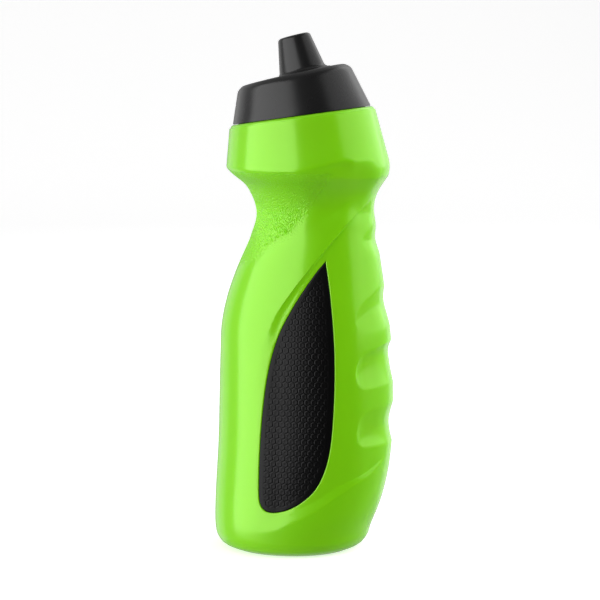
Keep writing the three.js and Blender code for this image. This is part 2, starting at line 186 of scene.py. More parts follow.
def spline(points, step, closed=False):
    """Points about step apart along a Catmull-Rom spline, as three.js draws it."""
    p = np.array(points, float)
    if closed:
        p = np.vstack([p, p[:1]])
    p = np.vstack([p[:1], p, p[-1:]])
    samples = []
    for a, b, c, d in zip(p[:-3], p[1:-2], p[2:-1], p[3:]):
        count = max(2, round(np.linalg.norm(c - b) / step))
        for t in np.arange(count) / count:
            samples.append(0.5 * (2 * b + (c - a) * t + (2 * a - 5 * b + 4 * c - d) * t * t
                                  + (3 * b - a - 3 * c + d) * t ** 3))
    if not closed:
        samples.append(p[-1])
    return np.array(samples)


def beside(line, x, z):
    """Distance of each (x, z) from a line, positive on its left, and how far along the line, 0 to 1."""
    at = np.stack([x, z], -1)
    start, run = line[:-1], np.diff(line, axis=0)
    away = at[:, None] - start[None]
    t = np.clip((away * run).sum(-1) / (run ** 2).sum(-1), 0, 1)
    gap = away - t[..., None] * run
    nearest = (gap ** 2).sum(-1).argmin(1)
    rows = np.arange(len(at))
    side = np.sign(run[nearest, 0] * away[rows, nearest, 1] - run[nearest, 1] * away[rows, nearest, 0])
    return side * np.linalg.norm(gap[rows, nearest], axis=1), (nearest + t[rows, nearest]) / len(run)


def inside(polygon, x, z):
    """Whether each (x, z) lies in a closed polygon."""
    a, b = polygon, np.roll(polygon, -1, axis=0)
    within = np.zeros(len(x), bool)
    for (ax, az), (bx, bz) in zip(a, b):
        crosses = (az > z) != (bz > z)
        with np.errstate(divide="ignore", invalid="ignore"):
            within ^= crosses & (x < (bx - ax) * (z - az) / (bz - az) + ax)
    return within


def offset_outline(outline, distance):
    """A closed outline moved outwards."""
    along = np.roll(outline, -1, axis=0) - np.roll(outline, 1, axis=0)
    along /= np.linalg.norm(along, axis=1)[:, None]
    return outline + distance * np.stack([-along[:, 1], along[:, 0]], -1) * OUTWARD


def ring(place, radius, height=0.0, sides=ROUND):
    """A circle at height along the axis of a leaning frame (x, z, lean), in that frame's parent."""
    x, z, lean = place
    lean = math.radians(lean)
    angle = np.linspace(0, 2 * np.pi, sides, endpoint=False)
    across = radius * np.cos(angle)
    return np.stack([
        x - height * math.sin(lean) + across * math.cos(lean),
        radius * np.sin(angle),
        z + height * math.cos(lean) + across * math.sin(lean),
    ], -1)


def out_of(place, points):
    """Points in a leaning frame (x, z, lean), moved into that frame's parent."""
    x, z, lean = place
    lean = math.radians(lean)
    return np.stack([
        x + points[..., 0] * math.cos(lean) - points[..., 2] * math.sin(lean),
        points[..., 1],
        z + points[..., 0] * math.sin(lean) + points[..., 2] * math.cos(lean),
    ], -1)


def on_neck(points):
    """Points in the neck's frame, moved into the bottle's."""
    return out_of(NECK, points)


# ---- The body's skin -------------------------------------------------------------------------

def section(angle, z):
    """Middle and radius of the body's plain section."""
    reach_x = (finger_x(z) - palm_x(z)) / 2
    flatness = (np.abs(np.cos(angle) / reach_x) ** SECTION_POWER
                + np.abs(np.sin(angle) / half_width(z)) ** SECTION_POWER)
    return (finger_x(z) + palm_x(z)) / 2, flatness ** (-1 / SECTION_POWER)


def degrees_from_fingers(angle):
    return np.degrees(np.abs(np.arctan2(np.sin(angle), np.cos(angle))))


def groove_depth(angle, z):
    around = degrees_from_fingers(angle)
    total = np.zeros_like(z)
    for rows, (crisp_low, crisp_high) in zip(FINGER_GROOVES, GROOVE_CRISPNESS):
        at, low, valley, high, depth = (np.interp(around, *np.array(rows)[:, (0, k)].T) for k in range(5))
        below = np.clip((z - low) / (valley - low), 0, 1)
        above = np.clip((high - z) / (high - valley), 0, 1)
        for ramp, crisp, side in ((below, crisp_low, z < valley), (above, crisp_high, z >= valley)):
            shape = crisp * (1 - (1 - ramp) ** 1.7) + (1 - crisp) * ramp * ramp * (3 - 2 * ramp)
            total += np.where(side, depth * shape, 0)
    return total


def recess_depth(angle, x, z):
    """The panel between the two creases."""
    from_upper, along_upper = beside(UPPER_LINE, x, z)
    from_lower, along_lower = beside(LOWER_LINE, x, z)
    width_upper = np.interp(along_upper, np.linspace(0, 1, len(UPPER_CREASE_WIDTH)), UPPER_CREASE_WIDTH)
    width_lower = np.interp(along_lower, np.linspace(0, 1, len(LOWER_CREASE_WIDTH)), LOWER_CREASE_WIDTH)
    upper = 1 - (1 - np.clip(from_upper / width_upper, 0, 1)) ** 2
    lower = np.clip(-from_lower / width_lower, 0, 1)
    return RECESS_DEPTH * upper * lower * smooth(-16, -4, x) * smooth(8, 30, degrees_from_fingers(angle))


def scoop_depth(angle, v):
    """The scoop under the collar, which cuts up into the collar's side."""
    around = degrees_from_fingers(angle)
    low, high = scoop_low(around), scoop_high(around)
    at_low, at_collar = SCOOP_DEPTH
    lead_in = np.clip((v - low + 9) / 9, 0, 1) ** 2 * at_low
    under = at_low + (at_collar - at_low) * np.clip((v - low) / (COLLAR_Z - low), 0, 1)
    side = at_collar * smooth(0, 1, (high + 1 - v) / (high + 1 - COLLAR_Z))
    depth = np.where(v < low, lead_in, np.where(v < COLLAR_Z, under, side))
    return depth * smooth(18, 42, around) * (1 - smooth(50, 90, around))


def lip_depth(x, z):
    """The rounded edge of the pocket that holds a pad."""
    away, _ = beside(np.vstack([OUTLINE, OUTLINE[:1]]), x, z)
    return POCKET_EDGE[0] * (1 - np.clip(np.abs(away) / POCKET_EDGE[1], 0, 1)) ** 2


def plain_skin(angle, v, inset=0.0, details=True):
    """The body's outside. v is the height up to the collar's widest line, and then runs up its side."""
    z = np.minimum(v, COLLAR_Z)
    middle, radius = section(angle, z)
    depth = np.zeros_like(z) + inset
    if details:
        x = middle + radius * np.cos(angle)
        depth = depth + groove_depth(angle, z) + recess_depth(angle, x, z) + scoop_depth(angle, v)
    low = np.stack([middle + (radius - depth) * np.cos(angle), (radius - depth) * np.sin(angle), z], -1)
    across = COLLAR_RADIUS - depth
    collar_edge = np.full_like(z, -COLLAR_CHAMFER)
    top = on_neck(np.stack([across * np.cos(angle), across * np.sin(angle), collar_edge], -1))
    rise = np.clip((v - COLLAR_Z) / (COLLAR_V - COLLAR_Z), 0, 1)[..., None]
    return low * (1 - rise) + top * rise


def skin(angle, v, inset=0.0, details=True):
    """The body's outside with the collar's lower edge rounded, more so towards the fingers."""
    angle, v = np.broadcast_arrays(np.asarray(angle, float), np.asarray(v, float))
    points = plain_skin(angle, v, inset, details)
    reach = COLLAR_ROUNDING[0] + (COLLAR_ROUNDING[1] - COLLAR_ROUNDING[0]) * (
        1 - smooth(30, 75, degrees_from_fingers(angle)))
    near = np.abs(v - COLLAR_Z) < reach
    if near.any():
        a, r = angle[near], reach[near]
        t = ((v[near] - COLLAR_Z) / r + 1)[..., None] / 2
        below, at, above = (plain_skin(a, COLLAR_Z + shift * r, inset, details) for shift in (-1, 0, 1))
        points[near] = below * (1 - t) ** 2 + 2 * at * t * (1 - t) + above * t ** 2
    return points


def angle_at(x, z):
    """The angle where the plain section at height z has this x, on the side of positive y."""
    low, high = np.zeros_like(x), np.full_like(x, np.pi)
    for _ in range(40):
        angle = (low + high) / 2
        middle, radius = section(angle, z)
        too_far = middle + radius * np.cos(angle) > x
        low, high = np.where(too_far, angle, low), np.where(too_far, high, angle)
    return (low + high) / 2


def flat(points):
    """Side-view points (x, z) in the flat layout of the skin, as (millimetres round, height)."""
    x, z = points.T
    return np.stack([AROUND * angle_at(x, z), z], -1)


COLLAR_V = COLLAR_Z + 23.5
UPPER_LINE = spline(UPPER_CREASE, 2.0)
LOWER_LINE = spline(LOWER_CREASE, 2.0)
OUTLINE = spline(PAD_OUTLINE, 0.8, closed=True)
OUTWARD = -1.0 if inside(OUTLINE, *(OUTLINE[:1] + (0.0, -1.0)).T)[0] else 1.0


# ---- Mesh building ---------------------------------------------------------------------------

def lattice(low, high, step):
    """Staggered rows of points over a rectangle, with its edges left clear."""
    rows = []
    height = step * math.sqrt(0.75)
    count = round((high[1] - low[1]) / height)
    for j in range(1, count):
        shift = step / 2 if j % 2 else 0.0
        u = np.arange(low[0] + step * 0.6 + shift, high[0] - step * 0.4, step)
        rows.append(np.stack([u, np.full_like(u, low[1] + (high[1] - low[1]) * j / count)], -1))
    return np.vstack(rows)


def clear_of(points, lines, distance):
    """The points that are at least distance from every line's points."""
    tree = kdtree.KDTree(sum(len(line) for line in lines))
    for i, (u, v) in enumerate(np.vstack(lines)):
        tree.insert((u, v, 0), i)
    tree.balance()
    return np.array([p for p in points if tree.find((p[0], p[1], 0))[2] > distance])


def triangulated(points, lines):
    """Triangles over flat points that keep each line as edges. Returns the points and the triangles."""
    edges, start = [], len(points)
    for line in lines:
        edges += [(start + i, start + i + 1) for i in range(len(line) - 1)]
        start += len(line)
    every = [Vector(p) for p in np.vstack([points, *lines])]
    found, _, faces, *_ = geometry.delaunay_2d_cdt(every, edges, [], 0, 1e-5)
    return np.array([p[:] for p in found]), [tuple(f) for f in faces]


def loft(rings, closed=False, first_fan=False, last_fan=False):
    """Vertices and faces through rings with equal numbers of points."""
    sides = len(rings[0])
    verts = np.vstack(rings)
    faces = []
    pairs = [(i, i + 1) for i in range(len(rings) - 1)] + ([(len(rings) - 1, 0)] if closed else [])
    for low, high in pairs:
        for i in range(sides):
            j = (i + 1) % sides
            faces.append((low * sides + i, low * sides + j, high * sides + j, high * sides + i))
    for wanted, start in ((first_fan, 0), (last_fan, (len(rings) - 1) * sides)):
        if wanted:
            middle = len(verts)
            verts = np.vstack([verts, verts[start:start + sides].mean(0)])
            faces += [(middle, start + i, start + (i + 1) % sides) for i in range(sides)]
    return verts, faces


def turned(profile, place=(0.0, 0.0, 0.0), sides=ROUND):
    """A ring-shaped body from a closed profile of (radius, height) round the axis of a leaning frame."""
    return loft([ring(place, radius, height, sides) for radius, height in profile], closed=True)


def thread_ridge(root, crest, foot, first_turn, last_turn, per_turn=96):
    """A helical ridge that stands on a wall of radius root."""
    turns = np.linspace(first_turn, last_turn, round((last_turn - first_turn) * per_turn))
    rings = []
    for turn in turns:
        fade = min(1.0, (turn - first_turn) * 12, (last_turn - turn) * 12)
        top = root + (crest - root) * fade
        height = foot + THREAD_LEAD * turn
        angle = 2 * math.pi * turn
        section_points = [
            (root, -THREAD_ROOT_WIDTH / 2), (top, -THREAD_CREST_WIDTH / 2),
            (top, THREAD_CREST_WIDTH / 2), (root, THREAD_ROOT_WIDTH / 2),
        ]
        rings.append(np.array([
            (r * math.cos(angle), r * math.sin(angle), height + h) for r, h in section_points
        ]))
    return loft(rings, first_fan=True, last_fan=True)


def mirrored(shape):
    verts, faces = shape
    return verts * (1, -1, 1), [f[::-1] for f in faces]


def make_piece(name, shapes, material, body, node, sharp=40.0):
    """One Blender object from shapes in millimetres, riding on a CAD body in place of a CAD node."""
    bm = bmesh.new()
    for verts, faces in shapes:
        made = [bm.verts.new(Vector(v) * MM) for v in verts]
        for face in faces:
            bm.faces.new([made[i] for i in face])
    bmesh.ops.remove_doubles(bm, verts=bm.verts, dist=2e-6)
    bmesh.ops.dissolve_degenerate(bm, edges=bm.edges, dist=1e-7)
    bmesh.ops.recalc_face_normals(bm, faces=bm.faces)
    for face in bm.faces:
        face.smooth = True
    limit = math.radians(sharp)
    for edge in bm.edges:
        edge.smooth = not (edge.is_manifold and edge.calc_face_angle(0) > limit)
    mesh = bpy.data.meshes.new(name)
    bm.to_mesh(mesh)
    bm.free()
    mesh.materials.append(material)
    piece = bpy.data.objects.new(name, mesh)
    bpy.context.scene.collection.objects.link(piece)
    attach(piece, body)
    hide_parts(node)
    return piece


def arc(centre, radius, start, end, steps):
    """(radius, height) points along an arc, angles in degrees."""
    angles = np.radians(np.linspace(start, end, steps))
    return [(centre[0] + radius * math.cos(a), centre[1] + radius * math.sin(a)) for a in angles]


# ---- Materials -------------------------------------------------------------------------------

def new_material(name, colour, roughness, **inputs):
    material = bpy.data.materials.new(name)
    material.use_nodes = True
    shader = material.node_tree.nodes["Principled BSDF"]
    shader.inputs["Base Color"].default_value = (*colour, 1)
    shader.inputs["Roughness"].default_value = roughness
    for key, value in inputs.items():
        shader.inputs[key.replace("_", " ")].default_value = value
    return material, material.node_tree, shader


def node(tree, kind, **settings):
    made = tree.nodes.new(kind)
    for key, value in settings.items():
        setattr(made, key, value)
    return made


def green_material():
    material, tree, shader = new_material("green_polyethylene", (0.26, 0.79, 0.004), 0.16)
    shader.inputs["Specular IOR Level"].default_value = 1.0
    shader.inputs["Specular Tint"].default_value = (0.65, 1.0, 0.37, 1)
    shader.inputs["Subsurface Weight"].default_value = 0.25
    shader.inputs["Subsurface Radius"].default_value = (0.004, 0.006, 0.002)
    shader.inputs["Subsurface Scale"].default_value = 1.0
    place = node(tree, "ShaderNodeTexCoord")
    stipple = node(tree, "ShaderNodeAttribute", attribute_name="stipple")
    grain = node(tree, "ShaderNodeTexVoronoi", feature="SMOOTH_F1")
    grain.inputs["Scale"].default_value = 1300.0
    grain.inputs["Smoothness"].default_value = 0.6
    tree.links.new(place.outputs["Object"], grain.inputs["Vector"])
    cut = node(tree, "ShaderNodeMath", operation="MULTIPLY")
    tree.links.new(grain.outputs["Distance"], cut.inputs[0])
    tree.links.new(stipple.outputs["Fac"], cut.inputs[1])
    bump = node(tree, "ShaderNodeBump")
    bump.inputs["Distance"].default_value = 0.0003
    bump.inputs["Strength"].default_value = 0.8
    tree.links.new(cut.outputs[0], bump.inputs["Height"])
    tree.links.new(bump.outputs["Normal"], shader.inputs["Normal"])
    cloud = node(tree, "ShaderNodeTexNoise")
    cloud.inputs["Scale"].default_value = 35.0
    tree.links.new(place.outputs["Object"], cloud.inputs["Vector"])
    rough = node(tree, "ShaderNodeMapRange")
    rough.inputs["To Min"].default_value = 0.17
    rough.inputs["To Max"].default_value = 0.22
    tree.links.new(cloud.outputs["Fac"], rough.inputs["Value"])
    rougher = node(tree, "ShaderNodeMath", operation="MULTIPLY_ADD")
    rougher.inputs[1].default_value = 0.1
    tree.links.new(stipple.outputs["Fac"], rougher.inputs[0])
    tree.links.new(rough.outputs["Result"], rougher.inputs[2])
    tree.links.new(rougher.outputs[0], shader.inputs["Roughness"])
    return material


ROUGHNESS_SPREAD = 0.06  # how far the gloss wanders either way, in roughness


def grained_material(name, colour, roughness, scale, depth, **inputs):
    """A moulded plastic or rubber with a fine grain and slightly uneven gloss."""
    material, tree, shader = new_material(name, colour, roughness, **inputs)
    place = node(tree, "ShaderNodeTexCoord")
    grain = node(tree, "ShaderNodeTexNoise")
    grain.inputs["Scale"].default_value = scale
    grain.inputs["Detail"].default_value = 3.0
    tree.links.new(place.outputs["Object"], grain.inputs["Vector"])
    bump = node(tree, "ShaderNodeBump")
    bump.inputs["Distance"].default_value = depth
    bump.inputs["Strength"].default_value = 0.6
    tree.links.new(grain.outputs["Fac"], bump.inputs["Height"])
    tree.links.new(bump.outputs["Normal"], shader.inputs["Normal"])
    cloud = node(tree, "ShaderNodeTexNoise")
    cloud.inputs["Scale"].default_value = 60.0
    tree.links.new(place.outputs["Object"], cloud.inputs["Vector"])
    rough = node(tree, "ShaderNodeMapRange")
    rough.inputs["To Min"].default_value = roughness - ROUGHNESS_SPREAD
    rough.inputs["To Max"].default_value = roughness + ROUGHNESS_SPREAD
    tree.links.new(cloud.outputs["Fac"], rough.inputs["Value"])
    tree.links.new(rough.outputs["Result"], shader.inputs["Roughness"])
    return material


def rubber_material():
    return grained_material(
        "black_rubber", (0.0008, 0.0008, 0.0009), roughness=0.34, scale=2500.0, depth=0.00005,
        Specular_IOR_Level=0.19)


def grey_material():
    return grained_material(
        "dark_polypropylene", (0.0085, 0.0085, 0.0087), roughness=0.28, scale=1800.0, depth=0.00003,
        Specular_IOR_Level=0.33)


def silicone_material():
    return grained_material(
        "clear_silicone", (0.55, 0.55, 0.53), roughness=0.45, scale=900.0, depth=0.00002,
        Subsurface_Weight=0.3)


# ---- Body ------------------------------------------------------------------------------------

def stipple_amount(x, z):
    """How stippled the body is: the waist, down to two soft edges seen from the side."""
    right_edge, _ = beside(np.array(STIPPLE_RIGHT, float), x, z)
    low_edge, _ = beside(np.array(STIPPLE_LOW, float), x, z)
    right, low, top = STIPPLE_FADES
    return smooth(*right, right_edge) * smooth(*low, low_edge) * (1 - smooth(*top, z))


def around_lines():
    """The lines of the flat layout that the grooves and the scoop turn on."""
    lines = []
    for rows in FINGER_GROOVES:
        angle, low, valley, high, _ = np.array(rows).T
        at = np.linspace(0.6, angle[-1], 34)
        there_and_back = AROUND * np.radians(np.concatenate([at, at[::-1][1:]]))
        edges = np.concatenate([np.interp(at, angle, low), np.interp(at, angle, high)[::-1][1:]])
        lines.append(np.stack([there_and_back, edges], -1))
        lines.append(np.stack([AROUND * np.radians(at[:-2]), np.interp(at[:-2], angle, valley)], -1))
    at = np.linspace(24, 86, 60)
    for edge in (scoop_low, scoop_high):
        lines.append(np.stack([AROUND * np.radians(at), edge(at)], -1))
    return lines


def scattered(count, faces):
    """A random choice of a mesh's points with no two of them joined, which scatters them evenly."""
    joined = [set() for _ in range(count)]
    for face in faces:
        for i in face:
            joined[i].update(face)
    chosen = np.zeros(count, bool)
    for i in np.random.default_rng(7).permutation(count):
        chosen[i] = not chosen[list(joined[i])].any()
    return chosen


def crease_lines():
    """Lines of the flat layout along each crease, its middle and its far side."""
    lines = []
    sides = (UPPER_LINE, UPPER_CREASE_WIDTH, 1), (LOWER_LINE, LOWER_CREASE_WIDTH, -1)
    for line, widths, side in sides:
        run = np.gradient(line, axis=0)
        run /= np.linalg.norm(run, axis=1)[:, None]
        towards = np.stack([-run[:, 1], run[:, 0]], -1) * side
        width = np.interp(np.linspace(0, 1, len(line)), np.linspace(0, 1, len(widths)), widths)
        for share in (0, 0.5, 1):
            shifted = line + share * width[:, None] * towards
            on_body = (shifted[:, 0] < finger_x(shifted[:, 1]) - 1) & (shifted[:, 1] > SKIN_LOW + 1)
            lines.append(flat(shifted[on_body]))
    return lines


def skin_border(across, columns):
    """The four sides of the flat layout, which match the rings above and below and the mirrored half."""
    u = np.linspace(0, across, columns + 1)
    v = np.linspace(SKIN_LOW, SKIN_HIGH, round((SKIN_HIGH - SKIN_LOW) / SKIN_STEP))
    return u, [
        np.stack([u, np.full_like(u, SKIN_LOW)], -1),
        np.stack([np.full_like(v, across), v], -1),
        np.stack([u, np.full_like(u, SKIN_HIGH)], -1)[::-1],
        np.stack([np.zeros_like(v), v], -1)[::-1],
    ]


def skin_points(across, lines):
    """Points over the flat layout, closer together where the body is stippled, and clear of the lines."""
    points = []
    for step, wants_stipple in ((SKIN_STEP, False), (STIPPLE_STEP, True)):
        grid = lattice((0, SKIN_LOW), (across, SKIN_HIGH), step)
        middle, radius = section(grid[:, 0] / AROUND, np.minimum(grid[:, 1], COLLAR_Z))
        stippled = stipple_amount(middle + radius * np.cos(grid[:, 0] / AROUND), grid[:, 1]) > 0.02
        points.append(clear_of(grid[stippled == wants_stipple], lines, step * 0.55))
    return np.vstack(points)


def skin_half():
    """The detailed half of the skin between SKIN_LOW and SKIN_HIGH, without the pad's pocket."""
    across = AROUND * np.pi
    columns = round(across / SKIN_STEP)
    edge_u, border = skin_border(across, columns)
    lips = [flat(offset_outline(OUTLINE, away)) for away in (0.0, 0.15, 0.35)]
    lines = [np.vstack([lip, lip[:1]]) for lip in lips] + around_lines() + crease_lines()
    for height in (-1.2, -0.4, 0.4, 1.2):
        lines.append(np.stack([edge_u[1:-1], np.full(columns - 1, COLLAR_Z + height)], -1))
    found, faces = triangulated(skin_points(across, lines), border + lines)
    centres = found[np.array(faces)].mean(1)
    faces = [f for f, gone in zip(faces, inside(flat(OUTLINE), *centres.T)) if not gone]
    angle, v = found[:, 0] / AROUND, found[:, 1]
    verts = skin(angle, v)
    middle, radius = section(angle, np.minimum(v, COLLAR_Z))
    x = middle + radius * np.cos(angle)
    pebbles = STIPPLE_DEPTH * ~scattered(len(v), faces) * stipple_amount(x, v)
    extra = lip_depth(x, v) * (v < 150) + pebbles
    verts[:, 0] -= extra * np.cos(angle)
    verts[:, 1] -= extra * np.sin(angle)
    return verts, faces


def patch(loops, step, inset):
    """A patch of skin inside the first of some nested side-view loops, pulled in by inset(x, z)."""
    outer = loops[0]
    lines = [np.vstack([loop, loop[:1]]) for loop in loops]
    points = lattice(outer.min(0), outer.max(0), step)
    points = points[inside(loops[-1], *points.T)]
    points = clear_of(points, [spline(lines[-1], 0.3)], step * 0.5)
    found, faces = triangulated(points, lines)
    centres = found[np.array(faces)].mean(1)
    faces = [face for face, kept in zip(faces, inside(outer, *centres.T)) if kept]
    x, z = found.T
    return skin(angle_at(x, z), z, inset(x, z)), faces


def skirt(steps):
    """A wall round the pad's outline, through steps of (distance inside the outline, inset)."""
    rings = []
    for inward, inset in steps:
        u, v = flat(offset_outline(OUTLINE, -inward)).T
        rings.append(skin(u / AROUND, v, inset))
    return loft(rings)


def pocket_half():
    """The walls and the floor of the pocket that holds a pad."""
    wall = skirt([(0.0, POCKET_EDGE[0]), (0.02, 1.4), (0.05, POCKET_DEPTH)])
    floor = patch([offset_outline(OUTLINE, -0.05)], 3.0, lambda x, z: np.full_like(x, POCKET_DEPTH))
    return [wall, floor]


def bottle_body(material):
    halves = [skin_half(), *pocket_half()]
    columns = round(AROUND * np.pi / SKIN_STEP)
    angle = np.linspace(0, 2 * np.pi, 2 * columns, endpoint=False)
    foot = skin(angle, 0.0)
    middle = np.array([FOOT_CENTRE, 0.0, 0.0])
    push_up = [
        ring((FOOT_CENTRE, PUSH_UP + 0.9 * (1 - share ** 2), 0), PUSH_UP_RADIUS * share, sides=2 * columns)
        for share in (0.05, 0.4, 0.7, 0.9, 1.0)
    ]
    inner_foot = [
        middle + (foot - middle) * share + (0, 0, lift) for share, lift in ((0.89, 0.6), (0.92, 0.1))
    ]
    outer_foot = [middle + (foot - middle) * 0.94]
    low = [skin(angle, z) for z in (0.12, 0.4, 0.8, 1.3, 2, 3, 4, 5, 6.2, 7.5, 9, 10.5, SKIN_LOW)]
    base = loft(push_up + inner_foot + outer_foot + low, first_fan=True)
    side = [skin(angle, v) for v in np.linspace(SKIN_HIGH, COLLAR_V, 12)]
    chamfer = [
        on_neck(ring((0, 0, 0), radius, height, 2 * columns))
        for radius, height in arc((COLLAR_TOP_RADIUS - 1.1, -1.75), 1.7, 10, 90, 7)
    ]
    shoulder = [on_neck(ring((0, 0, 0), radius, height, 2 * columns)) for radius, height in (
        (COLLAR_TOP_RADIUS - 1.4, -0.05), (30.3, -0.05), (30.1, 0.1), (30.1, 0.7), (29.9, 0.8), (29.5, 0.8),
        (29.4, 0.6), (29.4, 0), (FINISH_OUTER + 0.8, -0.1), (FINISH_OUTER + 0.2, 0.1),
        (FINISH_OUTER, 0.7), (FINISH_OUTER, FINISH_HEIGHT - 0.6), (FINISH_OUTER - 0.2, FINISH_HEIGHT - 0.15),
        (FINISH_OUTER - 0.7, FINISH_HEIGHT), (FINISH_INNER + 0.5, FINISH_HEIGHT),
        (FINISH_INNER + 0.1, FINISH_HEIGHT - 0.2), (FINISH_INNER, FINISH_HEIGHT - 0.6),
        (FINISH_INNER, 0), (FINISH_INNER + 0.3, -1.6), (FINISH_INNER + 1.5, -2.2), (30.5, -2.3),
    )]
    behind_pads = (187, 181, 178, 174, 168, 160, 150, 140, 130, 115, 100, 80, 60, 40, 25, 16)
    lining_rows = [
        (COLLAR_V - 2, 0), (195, 0.5), *((v, LINING_DEPTH) for v in behind_pads), (10, 1), (5, 0.5),
    ]
    lining = [skin(angle, v, WALL + depth, details=False) for v, depth in lining_rows]
    floor = [
        ring((FOOT_CENTRE, PUSH_UP + WALL, 0), PUSH_UP_RADIUS * share, sides=2 * columns)
        for share in (1.0, 0.5, 0.05)
    ]
    top = loft(side + chamfer + shoulder + lining + floor, last_fan=True)
    thread = thread_ridge(FINISH_OUTER - 0.5, NECK_CREST, THREAD_FOOT, 0, 1.25)
    thread = (on_neck(thread[0]), thread[1])
    shapes = [*halves, *map(mirrored, halves), base, top, thread]
    piece = make_piece("bottle_shell", shapes, material, "bottle", "bottle_body", sharp=30)
    mark_stipple(piece)
    return piece


def mark_stipple(piece):
    """Stores how stippled each point of the body is, for its material."""
    co = np.array([v.co for v in piece.data.vertices]) / MM
    attribute = piece.data.attributes.new("stipple", "FLOAT", "POINT")
    attribute.data.foreach_set("value", stipple_amount(co[:, 0], co[:, 2]).astype(np.float32))


# ---- Grip pads -------------------------------------------------------------------------------

HEX_PITCH = 3.06
HEX_GROOVE, HEX_GROOVE_WIDTH = 0.26, 0.3
HEX_DIMPLE, HEX_DIMPLE_RADIUS = 0.07, 1.0
PAD_RIM = [(-14, 2.4), (0, 2.0), (20, 3.2)]


def honeycomb(x, z):
    """Height of the honeycomb relief: rounded rings with a dimple in each, parted by grooves."""
    row_height = HEX_PITCH * math.sqrt(0.75)
    best = np.full_like(x, 1e9)
    dx, dz = np.zeros_like(x), np.zeros_like(x)
    base = np.round(z / row_height)
    for step in (-1, 0, 1):
        row = base + step
        shift = np.where(row % 2 == 0, 0.0, HEX_PITCH / 2)
        cx = np.round((x - shift) / HEX_PITCH) * HEX_PITCH + shift
        away = (x - cx) ** 2 + (z - row * row_height) ** 2
        closer = away < best
        best = np.where(closer, away, best)
        dx, dz = np.where(closer, x - cx, dx), np.where(closer, z - row * row_height, dz)
    out = np.maximum(np.abs(dx), np.abs(dx) / 2 + np.abs(dz) * math.sqrt(0.75))
    edge = HEX_PITCH / 2 - out
    groove = HEX_GROOVE * (1 - np.clip(edge / HEX_GROOVE_WIDTH, 0, 1)) ** 1.5
    dimple = HEX_DIMPLE * np.clip(1 - best / HEX_DIMPLE_RADIUS ** 2, 0, 1) ** 0.8
    return -groove - dimple


def pad_inset(x, z):
    """How far the pad's face lies below the body's skin: a rounded edge, a plain rim, then the honeycomb."""
    outer = offset_outline(OUTLINE, -PAD_GAP)
    from_edge, _ = beside(np.vstack([outer, outer[:1]]), x, z)
    from_edge = np.abs(from_edge)
    rim = np.interp(x, *np.array(PAD_RIM).T)
    relief = honeycomb(x, z) * smooth(-0.35, 0.35, from_edge - rim)
    fillet = PAD_EDGE[0] * (1 - np.clip(from_edge / PAD_EDGE[1], 0, 1)) ** 2
    return PAD_SUNK + fillet - relief


def grip_pad(name, node_name, side, material):
    """A rubber pad with a smooth raised rim round the honeycomb."""
    loops = [offset_outline(OUTLINE, -PAD_GAP - away) for away in (0.0, 0.12, 0.3, 0.5)]
    face = patch(loops, HEX_PITCH / 9, pad_inset)
    back = patch(loops[:1], 3.0, lambda x, z: np.full_like(x, PAD_SUNK + PAD_THICKNESS))
    wall = skirt([(PAD_GAP, PAD_SUNK + PAD_EDGE[0]), (PAD_GAP, PAD_SUNK + PAD_THICKNESS)])
    shapes = [face, wall, back]
    if side < 0:
        shapes = [mirrored(shape) for shape in shapes]
    return make_piece(name, shapes, material, "bottle", node_name, sharp=50)


# ---- Cap -------------------------------------------------------------------------------------

